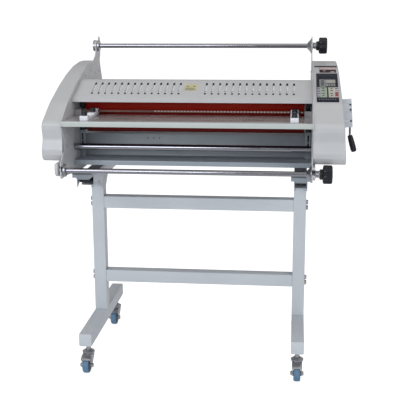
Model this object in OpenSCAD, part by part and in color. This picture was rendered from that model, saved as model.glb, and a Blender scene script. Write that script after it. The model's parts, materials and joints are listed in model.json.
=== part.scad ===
// Roll laminator on a wheeled floor stand.
// Millimetres. +Z is up and the floor is Z = 0. The operator stands on the -Y side,
// +X is the operator's right, where the control panel and the pressure lever are.
// The machine's own heights (the lists below) are counted from its base, base_z.

/* [Stand] */
// Side of the square steel tube
tube = 40; // [38:0.5:42]
// Wall of the square steel tube
tube_wall = 2; // [1.5:0.5:3]
// Distance from the middle of the stand to each post
post_x = 331; // [328:0.5:333]
// Length of each post, from its foot beam to its support arm
post_len = 456.5; // [420:0.5:520]
// Length of each foot beam without its end caps
foot_len = 506; // [490:1:540]
// Underside of the lower crossbar above the foot beams
low_bar_up = 98.5; // [70:0.5:150]
// Underside of the upper crossbar above the foot beams
high_bar_up = 352; // [300:0.5:370]
// Height of the support arms that carry the machine
arm_h = 30; // [26:1:34]

/* [Casters] */
// Diameter of each caster wheel
wheel_d = 50; // [48:1:54]
// Width of each caster wheel's tread
wheel_w = 21; // [18:1:23]
// Height from the floor to the underside of the foot beams
caster_h = 91.5; // [90:0.5:96]
// Distance from the swivel axis to the wheel's axle
trail = 28; // [24:1:32]
// Distance of the swivel axes in front of and behind the posts
caster_y = 216; // [205:1:228]

/* [Frame] */
// Distance from the middle to the inner face of each side plate
plate_x = 360; // [359:0.5:361]
// Thickness of the side plates
plate_t = 3; // [2.5:0.1:3.2]
// Wall of the folded side covers
cover_t = 2.5; // [2:0.25:3]
// Outward flare of the side covers for each millimetre of height
flare = 0.0654; // [0.05:0.005:0.08]

/* [Rollers] */
// Radius of the two rubber nip rollers
nip_r = 31.8; // [31:0.1:31.9]
// Half length of the roller faces
nip_half = 338.5; // [320:0.5:341]
// Radius of the roller journals
journal_r = 10; // [8:0.5:10]
// Diameter of the chrome idler bar
idler_d = 19; // [16:0.5:22]
// Radius of the two film supply shafts
supply_r = 7.5; // [7:0.1:7.5]

/* [Openings] */
// Number of ventilation slots in each half of the top cover
slots_n = 14; // [10:1:14]
// Pitch of the ventilation slots
slot_pitch = 20.4; // [18:0.1:20.5]
// Width of each ventilation slot
slot_w = 6; // [4:0.5:8]

/* [Controls] */
// Length of the black grip on the pressure lever
grip_l = 56; // [48:1:60]
// Diameter of the black grip on the pressure lever
grip_d = 19; // [16:0.5:20]
// Radius of the lobed tension knobs
knob_r = 27.5; // [24:0.5:28]

/* [Hidden] */
$fn = 64;
e = 0.01;
foot_z = caster_h + tube;               // top of the foot beams
arm_z = foot_z + post_len;              // underside of the support arms
base_z = arm_z + arm_h;                 // the machine's base
flare_a = atan(flare);
flare_top = 336;                        // height at which the covers' widths are given
right_w = 440.5;                        // outer face of the right cover at flare_top
left_w = 410;                           // outer face of the left cover at flare_top
upper_axis = [-88, 228];                // upper nip roller
lower_axis = [-88, 164];                // lower nip roller
pivot_axis = [80, 228];                 // swing arms
cam_axis = [20, 182];                   // pressure shaft
cam_e = 1.3;                            // eccentricity of the pressure cams
cam_r = 14.4;
upper_film = [175, 384.5];              // upper supply shaft
lower_film = [-322, 49];                // lower supply shaft
idler_axis = [-190, 99];
hinge_axis = [-66, 282];                // top cover hinge
cover_a = atan(45.5 / 115);             // slope of the top cover
deck_a = atan(73 / 195);                // slope of the control deck on the right cover
quad_r = 120;                           // radius of the lever quadrant
lever_x = 484.5;
grip_a = 16;                            // outward lean of the grip
grip_z = 114;                           // height where the lever bends outward
grip_top = [lever_x, grip_z - 2];
grip_end_x = grip_top[0] + (grip_l - 4) * sin(grip_a) + grip_d / 2 * cos(grip_a);
left_end_x = left_w + (flare_top - 73) * flare;
front_y = 354;
back_y = 258;
shift = [(left_end_x - grip_end_x) / 2, (front_y - back_y) / 2, 0];
side_pts = [[-354, 33], [-353, 56], [-351, 75], [-328, 91], [-304, 106], [-293, 124],
    [-309, 149], [-336, 179], [-329, 194], [-246, 240], [-197, 260], [-141, 284],
    [-60, 310], [24, 327], [104, 337], [137, 354], [151, 374], [153, 396], [158, 402],
    [190, 402], [193, 414], [206, 414], [211, 400], [213, 372], [209, 352], [198, 338], [203, 322], [227, 272],
    [244, 252], [258, 210], [258, 12], [-208, 12],
    [-219, 19], [-248, 24.5], [-280, 27.5], [-317, 28.5], [-343, 28]];
// outline of the thick bracket that holds the lower film shaft
cheek_pts = [[-352, 72.5], [-352.5, 56], [-350.5, 46], [-345, 38.5], [-336, 34], [-325, 32.5],
    [-308, 34], [-296, 40], [-262, 50], [-225, 72.5]];
cover_right_pts = [[-304, 73], [-315, 82], [-321, 100], [-319, 122], [-313, 141], [-326, 168],
    [-329, 183], [-322, 193], [-245, 240.5], [-50, 313.5], [24, 329], [104, 336.7], [151, 336.7],
    [188, 330.7], [222, 284], [244, 252], [258, 210], [258, 73]];
cover_left_pts = [[-304, 73], [-315, 82], [-321, 100], [-319, 122], [-313, 141], [-326, 168],
    [-329, 183], [-322, 193], [-246, 240], [-197, 260], [-141, 283], [-60, 309], [24, 328.5],
    [104, 336.7], [151, 336.7], [188, 330.7], [222, 284], [244, 252], [258, 210], [258, 73]];
gear_n = 20;
gear_m = 3.2;
pinion_n = 10;
pinion_dir = -18;
pinion_axis = lower_axis + (gear_n + pinion_n) / 2 * gear_m * [cos(pinion_dir), sin(pinion_dir)];

// ---------- helpers ----------

// A profile drawn in the Y-Z plane, from x0 to x1
module yz(pts, x0, x1) {
    translate([x0, 0, 0]) rotate([90, 0, 90]) linear_extrude(x1 - x0) polygon(pts);
}
// A cylinder along X around the point p = [y, z]
module rod(p, r, x0, x1) {
    translate([x0, p[0], p[1]]) rotate([0, 90, 0]) cylinder(h = x1 - x0, r = r);
}
module both() { children(); mirror([1, 0, 0]) children(); }
module machine() { translate([0, 0, base_z]) children(); }
// Unit normal to the left of the step from a to b
function side(a, b) = let (d = b - a) [-d[1], d[0]] / norm(d);
function mitre(n1, n2) = (n1 + n2) / (1 + n1 * n2);
// A folded sheet of thickness t along the open line p
function sheet(p, t) = concat(p, [for (i = [len(p) - 1 : -1 : 0])
    p[i] + t * (i == 0 ? side(p[0], p[1])
        : i == len(p) - 1 ? side(p[i - 1], p[i])
        : mitre(side(p[i - 1], p[i]), side(p[i], p[i + 1])))]);
// A closed outline moved to its left by t
function inset(p, t) = let (n = len(p)) [for (i = [0 : n - 1])
    p[i] + t * mitre(side(p[(i + n - 1) % n], p[i]), side(p[i], p[(i + 1) % n]))];
// Gear outline with straight flanks: n teeth of module m, first tooth at angle a
function gear_pts(n, m, a) = [for (i = [0 : n - 1]) for (k = [0 : 3])
    let (w = 360 / n, rp = n * m / 2,
        r = (k == 0 || k == 3) ? rp - 1.15 * m : rp + 0.82 * m,
        f = [-0.29, -0.105, 0.105, 0.29][k])
    r * [cos(a + (i + f) * w), sin(a + (i + f) * w)]];

// ---------- stand ----------

module box_tube(size, l, w = tube_wall) {
    difference() {
        translate([-size[0] / 2, -size[1] / 2, 0]) cube([size[0], size[1], l]);
        translate([-size[0] / 2 + w, -size[1] / 2 + w, -1])
            cube([size[0] - 2 * w, size[1] - 2 * w, l + 2]);
    }
}
bolt_z = [low_bar_up + 11, low_bar_up + 29, high_bar_up + 11, high_bar_up + 29];

module post() {
    color([0.73, 0.76, 0.80]) difference() {
        translate([post_x, 0, foot_z]) box_tube([tube, tube], post_len);
        for (z = bolt_z) rod([0, foot_z + z], 4.2, post_x - tube, post_x + tube);
    }
}
module left_post() { mirror([1, 0, 0]) post(); }
module right_post() { post(); }

module foot_beam() {
    color([0.73, 0.76, 0.80]) difference() {
        translate([post_x, foot_len / 2, caster_h + tube / 2]) rotate([90, 0, 0])
            box_tube([tube, tube], foot_len);
        for (s = [-1, 1]) translate([post_x, s * caster_y, caster_h - 1])
            cylinder(h = tube_wall + 2, r = 6.2);
    }
}
module left_foot_beam() { mirror([1, 0, 0]) foot_beam(); }
module right_foot_beam() { foot_beam(); }

module foot_end_caps() {
    color([0.73, 0.76, 0.80]) both() for (s = [-1, 1]) translate([post_x, s * foot_len / 2, caster_h + tube / 2])
        rotate([s < 0 ? 90 : -90, 0, 0]) {
            difference() {
                translate([-tube / 2, -tube / 2, 0]) cube([tube, tube, 3]);
                for (i = [-1, 1]) for (j = [-1, 1]) translate([i * tube / 2, j * tube / 2, -1])
                    rotate([0, 0, 45]) cube([4, 4, 10], center = true);
            }
            translate([-tube / 2 + tube_wall + 0.1, -tube / 2 + tube_wall + 0.1, -10])
                cube([tube - 2 * tube_wall - 0.2, tube - 2 * tube_wall - 0.2, 10]);
        }
}

module crossbar(z) {
    color([0.73, 0.76, 0.80]) {
        translate([-post_x + tube / 2, 0, foot_z + z + tube / 2]) rotate([90, 0, 90])
            box_tube([tube, tube], 2 * post_x - tube);
        both() difference() {
            translate([post_x - tube / 2 - 6, -tube / 2 + tube_wall, foot_z + z + tube_wall])
                cube([6, tube - 2 * tube_wall, tube - 2 * tube_wall]);
            for (i = [11, 29]) rod([0, foot_z + z + i], 4.1, post_x - tube, post_x);
        }
    }
}
module crossbars() { crossbar(high_bar_up); crossbar(low_bar_up); }

module crossbar_bolts() {
    color([0.75, 0.75, 0.78]) both() for (z = bolt_z) {
        rod([0, foot_z + z], 4, post_x - tube / 2 - 14, post_x + tube / 2 + 1);
        rod([0, foot_z + z], 8.5, post_x + tube / 2, post_x + tube / 2 + 1.6);
        translate([post_x + tube / 2 + 1.6, 0, foot_z + z]) rotate([0, 90, 0])
            cylinder(h = 5.3, r = 7.5, $fn = 6);
    }
}

module support_arm() {
    color([0.73, 0.76, 0.80]) {
        translate([post_x, 190, arm_z + arm_h / 2]) rotate([90, 0, 0])
            box_tube([tube, arm_h], 342);
        for (s = [-1, 1]) yz([[s * tube / 2, arm_z], [s * (tube / 2 + 38), arm_z], [s * tube / 2, arm_z - 36]],
            post_x + tube / 2 - 5, post_x + tube / 2);
        for (s = [-1, 1]) yz([[s * tube / 2, arm_z], [s * (tube / 2 + 38), arm_z], [s * tube / 2, arm_z - 36]],
            post_x - tube / 2, post_x - tube / 2 + 5);
    }
}
module support_arms() { both() support_arm(); }

// ---------- casters ----------

crown_z = wheel_d + 4;                  // underside of the fork's crown
head_z = crown_z + 13;                  // top of the swivel head

module caster_stems() {
    color([0.80, 0.80, 0.82]) both() for (s = [-1, 1]) translate([post_x, s * caster_y, 0]) {
        translate([0, 0, crown_z - 1]) cylinder(h = caster_h + 26 - crown_z, r = 6);
        translate([0, 0, crown_z - 2.8]) cylinder(h = 2.4, r = 9);
        translate([0, 0, head_z + 0.4]) cylinder(h = 3, r = 9);
        translate([0, 0, head_z + 3.4]) cylinder(h = caster_h - head_z - 9.4, r = 7);
        translate([0, 0, caster_h - 6]) cylinder(h = 6, r = 9.5, $fn = 6);
        translate([0, 0, caster_h + tube_wall]) cylinder(h = 9, r = 10.5, $fn = 6);
    }
}

module fork() {
    color([0.78, 0.78, 0.80]) {
        difference() {
            union() {
                translate([0, 0, crown_z + 8]) cylinder(h = head_z - crown_z - 8, r1 = 18, r2 = 12, $fn = 48);
                translate([0, 0, crown_z + 4]) cylinder(h = 4, r = 19.5);
                translate([0, 0, crown_z]) cylinder(h = 4, r = 17.5);
                translate([-15.5, -26, crown_z]) cube([31, 42, 3]);
                // fender in front of the crown
                yz([[-24, crown_z + 3], [-24, crown_z], [-37, crown_z - 2.6], [-46, crown_z - 8.5],
                    [-47.5, crown_z - 6.6], [-38, crown_z + 0.2]], -15.5, 15.5);
                both() difference() {
                    union() {
                        yz([[-26, crown_z + 3], [16, crown_z + 3], [12, crown_z - 10], [-trail + 9, wheel_d / 2 - 3],
                            [-trail - 9, wheel_d / 2 - 1], [-trail - 6, crown_z - 12]], 13, 15.5);
                        rod([-trail, wheel_d / 2], 9, 13, 15.5);
                    }
                    rod([-trail, wheel_d / 2], 4.1, 10, 18);
                }
            }
            translate([0, 0, crown_z - 1]) cylinder(h = 20, r = 6.07);
        }
        rod([-trail, wheel_d / 2], 4, -18, 18);
        both() translate([15.5, -trail, wheel_d / 2]) rotate([0, 90, 0]) cylinder(h = 5, r = 7, $fn = 6);
    }
}
module wheel() {
    color([0.33, 0.47, 0.58]) translate([0, -trail, wheel_d / 2]) rotate([0, 90, 0]) difference() {
        rotate_extrude() polygon([[0, -12.5], [9, -12.5], [9, -9], [15, -7.5], [17.5, -wheel_w / 2 + 1],
            [wheel_d / 2 - 4, -wheel_w / 2], [wheel_d / 2 - 1, -wheel_w / 2 + 3], [wheel_d / 2, -wheel_w / 2 + 7],
            [wheel_d / 2, wheel_w / 2 - 7], [wheel_d / 2 - 1, wheel_w / 2 - 3], [wheel_d / 2 - 4, wheel_w / 2],
            [17.5, wheel_w / 2 - 1], [15, 7.5], [9, 9], [9, 12.5], [0, 12.5]]);
        translate([0, 0, -15]) cylinder(h = 30, r = 4.06);
    }
}
module at_caster(sx, sy) { translate([sx * post_x, sy * caster_y, 0]) children(); }
module front_left_fork() { at_caster(-1, -1) fork(); }
module front_right_fork() { at_caster(1, -1) fork(); }
module rear_left_fork() { at_caster(-1, 1) fork(); }
module rear_right_fork() { at_caster(1, 1) fork(); }
module front_left_wheel() { at_caster(-1, -1) wheel(); }
module front_right_wheel() { at_caster(1, -1) wheel(); }
module rear_left_wheel() { at_caster(-1, 1) wheel(); }
module rear_right_wheel() { at_caster(1, 1) wheel(); }

// ---------- machine frame ----------

// The thin side plate, its film shaft notch at the top and its thick lower bracket
module side_plate(right) {
    color([0.74, 0.75, 0.76]) machine() difference() {
        union() {
            yz(side_pts, plate_x, plate_x + plate_t);
            // on the left the bracket is a cheek that stands clear of the plate, to leave room for a collar
            if (right) yz(cheek_pts, plate_x + plate_t, plate_x + 10);
            else difference() {
                yz(cheek_pts, plate_x + plate_t, plate_x + 19);
                translate([plate_x + plate_t - 1, -360, 20]) cube([8, 64, 60]);
            }
            // stud for the swing arm
            rod(pivot_axis, 8, plate_x - 16, plate_x + 1);
        }
        // open-topped notch for the upper supply shaft
        rod(upper_film, supply_r + 0.1, plate_x - 5, plate_x + 25);
        translate([plate_x - 5, upper_film[0] - supply_r - 0.06, upper_film[1]])
            cube([30, 2 * supply_r + 0.12, 60]);
        // forward notch for the lower supply shaft
        rod(lower_film, supply_r + 0.1, plate_x - 5, plate_x + (right ? 25 : 4));
        translate([plate_x - 5, lower_film[0], lower_film[1]]) rotate([-20, 0, 0])
            translate([0, -60, -supply_r - 0.06]) cube([right ? 30 : 9, 60, 2 * supply_r + 0.12]);
        rod(idler_axis, 4.08, plate_x - 5, plate_x + 5);
        rod(hinge_axis, 3.06, plate_x - 5, plate_x + 5);
        rod(cam_axis, 8.07, plate_x - 5, plate_x + 5);
        if (right) {
            rod(lower_axis, 14, plate_x - 5, plate_x + 5);
            rod(upper_axis + [0, 3], 17, plate_x - 5, plate_x + 5);
        }
    }
}
module left_side_plate() { mirror([1, 0, 0]) side_plate(false); }
module right_side_plate() { side_plate(true); }

// Straps under the machine, their step brackets and the folded front corners
module base_rails() {
    color([0.55, 0.56, 0.58]) machine() both() {
        translate([post_x - tube / 2, -215, 0]) cube([tube, 443, 8]);
        for (y = [-229, 170]) translate([302, y, 8]) cube([plate_x - 302, 58, 11]);
        yz([[-209, 0], [-209, -25], [-156, -3], [-156, 0]], post_x + tube / 2 - 2.5, post_x + tube / 2);
    }
}
module machine_feet() {
    color([0.05, 0.05, 0.06]) machine() both() for (y = [-192, 211]) translate([post_x, y, -10.5]) {
        cylinder(h = 10.5, r = 13.5);
        translate([0, 0, 0]) cylinder(h = 7, r1 = 14.5, r2 = 16, $fn = 48);
    }
}

// Folded pan under the lower roller: lip, shelf, back face and the two slotted uprights
module front_pan() {
    color([0.62, 0.65, 0.68]) machine() {
        yz(sheet([[-195, 43], [-195, 57.5], [-95, 57.5], [-95, 126], [-72, 122]], -2), -plate_x, plate_x);
        both() difference() {
            translate([342.5, -116, 57.5]) cube([16, 2, 79]);
            for (z = [84, 108]) translate([349, -120, z]) cube([5, 10, 21]);
        }
    }
}
module rear_panel() {
    color([0.70, 0.71, 0.72]) machine() difference() {
        yz(sheet([[150, 19], [255, 19], [255, 183], [215, 190]], 2), -plate_x, plate_x);
        translate([255, 240, 32]) cube([50, 30, 30]);
    }
}
// Sloping deck over the rollers' rear; laminated work leaves under its back edge
module rear_deck() {
    color([0.76, 0.77, 0.75]) machine()
        yz(sheet([[-46, 256], [-46, 268], [100, 248], [255, 216], [255, 207], [240, 207]], -2), -plate_x, plate_x);
}

// Folded side covers, flared outward towards the floor and open towards the side plates
module flare_cut(w, d) {
    translate([w + d, 0, flare_top]) rotate([0, -flare_a, 0]) translate([0, -500, -500]) cube([200, 1000, 1000]);
}
module cover_shell(pts, w) {
    difference() {
        yz(pts, plate_x + plate_t, w + 40);
        flare_cut(w, 0);
        difference() {
            yz(inset(pts, -cover_t), plate_x, w + 60);
            flare_cut(w, -cover_t);
        }
    }
}
module left_cover() { mirror([1, 0, 0]) color([0.74, 0.75, 0.76]) machine() cover_shell(cover_left_pts, left_w); }
module right_cover() {
    color([0.74, 0.75, 0.76]) machine() difference() {
        cover_shell(cover_right_pts, right_w);
        rod(cam_axis, 9.5, 400, 480);
    }
}

// ---------- top cover ----------

module on_slope() { translate([0, -200, 245.5]) rotate([cover_a, 0, 0]) children(); }
module top_cover() {
    color([0.76, 0.77, 0.75]) machine() {
        difference() {
            union() {
                yz(sheet([[-200, 236], [-200, 245.5], [-85, 291], [-70, 293.5], [-58, 288], [-57, 272]], -1.5),
                    -plate_x + 0.7, plate_x - 0.7);
                both() yz([[-199, 236], [-199, 245], [-85, 290], [-70, 292.5], [-59, 287], [-58, 272], [-72, 272],
                    [-90, 279], [-189, 237]], plate_x - 2.2, plate_x - 0.7);
            }
            on_slope() both() for (i = [0 : slots_n - 1]) translate([40 + i * slot_pitch, 0, -8]) linear_extrude(16) {
                translate([-slot_w / 2, 35.5]) square([slot_w, 70]);
                translate([0, 35.5]) circle(slot_w / 2, $fn = 24);
                translate([0, 105.5]) circle(slot_w / 2, $fn = 24);
            }
        }
        both() rod(hinge_axis, 3, plate_x - 2.2, plate_x + plate_t);
    }
}
// White reflector under the slots, with a narrow slit along it
module cover_liner() {
    color([0.88, 0.89, 0.90]) machine() on_slope() both() difference() {
        translate([0, 50, -4.7]) cube([plate_x - 2.2, 54, 1.2]);
        translate([20, 59, -6]) cube([300, 3, 4]);
    }
}

// ---------- feed table and guides ----------

module feed_table() {
    color([0.78, 0.80, 0.78]) machine() difference() {
        yz(sheet([[-331, 179], [-331, 194], [-161, 194], [-150, 187]], -2), -plate_x, plate_x);
        for (s = [-1, 1]) translate([s * 190, -259, 180]) linear_extrude(20) {
            square([54, 8], center = true);
            for (i = [-27, 27]) translate([i, 0]) circle(4, $fn = 24);
        }
    }
}
rail_y = [-172, -166];
rail_z = [203, 209];
// Rail across the table, carried at both ends by a block that stands on the table
module scale_rail() {
    color([0.50, 0.36, 0.30]) machine() {
        translate([-plate_x, rail_y[0], rail_z[0]])
            cube([2 * plate_x, rail_y[1] - rail_y[0], rail_z[1] - rail_z[0]]);
        both() translate([338, -178, 194]) cube([19.5, 17, 16]);
    }
}
// Where the two guides stand, and where their rear and front knobs are
guide_x = [-298, 309];
rear_knob_y = -194;
front_knob_y = -302;
// Guide that slides along the rail: front block, thin fence, rear block and saddle over the rail
module guide(s) {
    color([0.93, 0.93, 0.95]) machine() translate([s < 0 ? guide_x[0] : guide_x[1], 0, 0]) difference() {
        union() {
            translate([-11.7, -313, 194.4]) cube([23.4, 24, 13.6]);
            translate([s < 0 ? 8.7 : -11.7, -313, 194.4]) cube([3, 155, 8]);
            translate([-11.7, -225, 194.4]) cube([23.4, 67, 11.2]);
            translate([-11.7, -181, 194.4]) cube([23.4, 23, 19]);
        }
        translate([-20, rail_y[0] - 0.35, rail_z[0] - 0.35])
            cube([40, rail_y[1] - rail_y[0] + 0.7, rail_z[1] - rail_z[0] + 0.7]);
        translate([0, rear_knob_y, 198]) cylinder(h = 20, r = 3.06);
        translate([0, front_knob_y, 200]) cylinder(h = 20, r = 3.06);
    }
}
module left_guide() { guide(-1); }
module right_guide() { guide(1); }
// Screw knob with its stem in a block whose top is at z
module guide_knob(x, y, z) {
    color([0.05, 0.05, 0.06]) machine() translate([x, y, z]) {
        translate([0, 0, -6]) cylinder(h = 7, r = 3);
        translate([0, 0, 0.4]) cylinder(h = 8, r = 8.7);
        translate([0, 0, 8.4]) cylinder(h = 5, r = 7);
    }
}
module left_guide_knob() { guide_knob(guide_x[0], rear_knob_y, 205.6); }
module right_guide_knob() { guide_knob(guide_x[1], rear_knob_y, 205.6); }
module left_front_knob() { guide_knob(guide_x[0], front_knob_y, 208); }
module right_front_knob() { guide_knob(guide_x[1], front_knob_y, 208); }

// ---------- rollers ----------

module roller(p, tint) {
    color(tint) machine() difference() {
        rod(p, nip_r, -nip_half, nip_half);
        rod(p, 24, -nip_half - 1, nip_half + 1);
    }
}
module upper_roller() { roller(upper_axis, [0.42, 0.07, 0.05]); }
module lower_roller() { roller(lower_axis, [0.32, 0.05, 0.05]); }

// Steel core with its journals and the timing gear at the right end
module roller_shaft(p, phase) {
    color([0.70, 0.70, 0.72]) machine() {
        rod(p, 24, -nip_half, nip_half);
        rod(p, journal_r, -plate_x + 4, 386);
        translate([372, p[0], p[1]]) rotate([90, 0, 90]) linear_extrude(12) polygon(gear_pts(gear_n, gear_m, phase));
    }
}
module upper_roller_shaft() { roller_shaft(upper_axis, 9); }
module lower_roller_shaft() { roller_shaft(lower_axis, 0); }

// Swing arms that carry the upper roller and rest over the pressure cams
module roller_arms() {
    color([0.10, 0.10, 0.11]) machine() both() difference() {
        yz([[-114, 228], [-112, 213], [-98, 203], [-60, 203], [-40, 195.8], [58, 195.8], [66, 208], [94, 214],
            [98, 226], [94, 237], [-40, 239], [-72, 250], [-98, 253], [-112, 242]], 343.2, plate_x - 3.2);
        rod(upper_axis, journal_r + 0.06, 340, plate_x);
        rod(pivot_axis, 8.06, 340, plate_x);
    }
}
module lower_bearing_blocks() {
    color([0.10, 0.10, 0.11]) machine() both() difference() {
        translate([343.2, -114, 138]) cube([plate_x - 343.2, 52, 52]);
        rod(lower_axis, journal_r + 0.06, 340, plate_x + 1);
    }
}

// ---------- pressure lever ----------

module pressure_shaft() {
    color([0.70, 0.70, 0.72]) machine() {
        rod(cam_axis, 8, -plate_x - 2.5, lever_x - 4.5);
        both() rod(cam_axis + cam_e * [sin(-145), cos(-145)], cam_r, 343.5, plate_x - 3.5);
    }
}
module pressure_lever() {
    color([0.72, 0.72, 0.74]) machine() {
        rod(cam_axis, 12.5, lever_x - 4.5, lever_x + 3.5);
        translate([lever_x, cam_axis[0], grip_z - 14]) cylinder(h = cam_axis[1] - grip_z + 14, r = 3.5);
    }
}
module lever_grip() {
    color([0.05, 0.05, 0.06]) machine() difference() {
        translate([grip_top[0], cam_axis[0], grip_top[1]]) rotate([0, 180 - grip_a, 0])
            rotate_extrude() polygon([[0, 0], [6, 0], [8, 2], [8.6, 5], [grip_d / 2, 16], [grip_d / 2, grip_l - 4],
                [grip_d / 2 - 1.2, grip_l - 1.2], [grip_d / 2 - 4, grip_l], [0, grip_l]]);
        translate([lever_x, cam_axis[0], grip_z - 14]) cylinder(h = 30, r = 3.5);
    }
}
// Arc of metal in front of the lever, with blind detent holes and one open slot
module quadrant() {
    color([0.73, 0.74, 0.78]) machine()
        translate([right_w + (flare_top - cam_axis[1]) * flare, cam_axis[0], cam_axis[1]]) rotate([0, -flare_a, 0])
            difference() {
                union() {
                    intersection() {
                        difference() {
                            rod([0, 0], quad_r, 0, 33);
                            rod([0, 0], quad_r - 4, 2.5, 40);
                        }
                        translate([-10, -quad_r - 5, -31]) cube([60, quad_r + 5, 86]);
                    }
                    rod([0, 0], 22, 0, 2.5);
                }
                rod([0, 0], 9.5, -10, 40);
                for (a = [18.5, 11, -5.3]) rotate([-a, 0, 0]) translate([28.2, -quad_r + 2.8, 0])
                    rotate([90, 0, 0]) cylinder(h = 30, r = 3);
                rotate([-7.9, 0, 0]) translate([23.5, -quad_r - 5, -1.5]) cube([20, 12, 3]);
            }
}

// ---------- idler and supply shafts ----------

module idler_bar() {
    color([0.80, 0.80, 0.84]) machine() {
        rod(idler_axis, idler_d / 2, -plate_x + 0.4, plate_x - 0.4);
        rod(idler_axis, 4, -plate_x - 2.5, plate_x + 2.5);
    }
}
// Steel shaft with the collars that locate it in the side plates: x0 is its left end, ox the outer
// face of the right bracket and kx the start of its tension knob
module supply_shaft(p, x0, ox, kx) {
    color([0.78, 0.78, 0.80]) machine() {
        rod(p, supply_r, x0, 396);
        rod(p, 18.5, x0, -plate_x - plate_t - 0.4);
        rod(p, 18.5, -plate_x + 0.4, -plate_x + 7);
        translate([plate_x - 0.4, p[0], p[1]]) rotate([0, -90, 0]) cylinder(h = 14, r1 = 25, r2 = 9);
        // tension spring in front of the knob
        for (i = [0 : 2]) rod(p, 10 + i, ox + 0.6 + i * (kx - ox - 3) / 2, ox + 2.6 + i * (kx - ox - 3) / 2);
        rod(p, 9, ox + 0.6, kx - 0.4);
    }
}
module upper_supply_shaft() { supply_shaft(upper_film, -plate_x - plate_t - 10.6, plate_x + plate_t, 375); }
module lower_supply_shaft() { supply_shaft(lower_film, -plate_x - plate_t - 6.4, plate_x + 10, 383); }

module tension_knob(p, x) {
    color([0.05, 0.05, 0.07]) machine() difference() {
        union() {
            rod(p, 15, x, x + 7);
            rod(p, knob_r - 4.5, x + 7, x + 36);
            for (i = [0 : 6]) rod(p + (knob_r - 7) * [cos(i * 360 / 7), sin(i * 360 / 7)], 7, x + 8, x + 35);
        }
        rod(p, supply_r + 0.06, x - 1, x + 22);
    }
}
module upper_tension_knob() { tension_knob(upper_film, 375); }
module lower_tension_knob() { tension_knob(lower_film, 383); }

// ---------- control panel ----------

module on_deck() { translate([0, -245, 240.5]) rotate([deck_a, 0, 0]) children(); }
// [x0, x1, s0, s1] of each key on the deck, s counted up the slope
green_up = [382.5, 400.5, 72, 102];
green_down = [382.5, 400.5, 39, 69];
beige_up = [408, 423, 72, 102];
beige_down = [408, 423, 39, 69];
red_box = [425.6, 434, 45, 71];

module control_panel() {
    color([0.20, 0.21, 0.25]) machine() on_deck() difference() {
        translate([372, 11.5, 0]) cube([63.5, 188.5, 2.5]);
        for (k = [green_up, green_down, beige_up, beige_down, red_box])
            translate([k[0], k[2], -1]) cube([k[1] - k[0], k[3] - k[2], 6]);
        translate([380, 107, 1.9]) cube([50, 51, 3]);
    }
}
module key(k, tint) {
    color(tint) machine() on_deck() translate([k[0] + 0.35, k[2] + 0.35, 1.3])
        cube([k[1] - k[0] - 0.7, k[3] - k[2] - 0.7, 2.4]);
}
module green_up_key() { key(green_up, [0.55, 0.68, 0.55]); }
module green_down_key() { key(green_down, [0.55, 0.68, 0.55]); }
module beige_up_key() { key(beige_up, [0.74, 0.73, 0.68]); }
module beige_down_key() { key(beige_down, [0.74, 0.73, 0.68]); }
module red_key() { key(red_box, [0.62, 0.25, 0.25]); }

// ---------- drive and mains ----------

module gear_motor() {
    color([0.45, 0.46, 0.48]) machine() difference() {
        union() {
            rod(pinion_axis, 26, 393, 436);
            translate([388, pinion_axis[0] - 34, pinion_axis[1] - 34]) cube([5, 68, 68]);
            for (p = [[28, 28], [28, -28], [-28, -28]]) rod(pinion_axis + p, 4, plate_x + plate_t, 388);
        }
        rod(pinion_axis, 5.06, 380, 412);
    }
}
module motor_pinion() {
    color([0.65, 0.60, 0.40]) machine() {
        translate([372, pinion_axis[0], pinion_axis[1]]) rotate([90, 0, 90]) linear_extrude(12)
            polygon(gear_pts(pinion_n, gear_m, 0));
        rod(pinion_axis, 5, 370, 411);
    }
}
module mains_inlet() {
    color([0.06, 0.06, 0.07]) machine() difference() {
        union() {
            translate([255.3, 228, 32.3]) cube([49.4, 27, 29.4]);
            translate([250, 255, 27]) cube([60, 3, 40]);
        }
        translate([266, 242, 38]) cube([28, 30, 18]);
    }
}

module place() { translate(shift) children(); }

place() left_post();
place() right_post();
place() left_foot_beam();
place() right_foot_beam();
place() foot_end_caps();
place() crossbars();
place() crossbar_bolts();
place() support_arms();
place() caster_stems();
place() front_left_fork();
place() front_right_fork();
place() rear_left_fork();
place() rear_right_fork();
place() front_left_wheel();
place() front_right_wheel();
place() rear_left_wheel();
place() rear_right_wheel();
place() left_side_plate();
place() right_side_plate();
place() base_rails();
place() machine_feet();
place() front_pan();
place() rear_panel();
place() rear_deck();
place() left_cover();
place() right_cover();
place() top_cover();
place() cover_liner();
place() feed_table();
place() scale_rail();
place() left_guide();
place() right_guide();
place() left_guide_knob();
place() right_guide_knob();
place() left_front_knob();
place() right_front_knob();
place() upper_roller();
place() upper_roller_shaft();
place() lower_roller();
place() lower_roller_shaft();
place() roller_arms();
place() lower_bearing_blocks();
place() pressure_shaft();
place() quadrant();
place() pressure_lever();
place() lever_grip();
place() idler_bar();
place() upper_supply_shaft();
place() lower_supply_shaft();
place() upper_tension_knob();
place() lower_tension_knob();
place() control_panel();
place() green_up_key();
place() green_down_key();
place() beige_up_key();
place() beige_down_key();
place() red_key();
place() gear_motor();
place() motor_pinion();
place() mains_inlet();
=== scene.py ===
import json
import math
import bmesh
import bpy
from mathutils import Matrix, Vector


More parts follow.
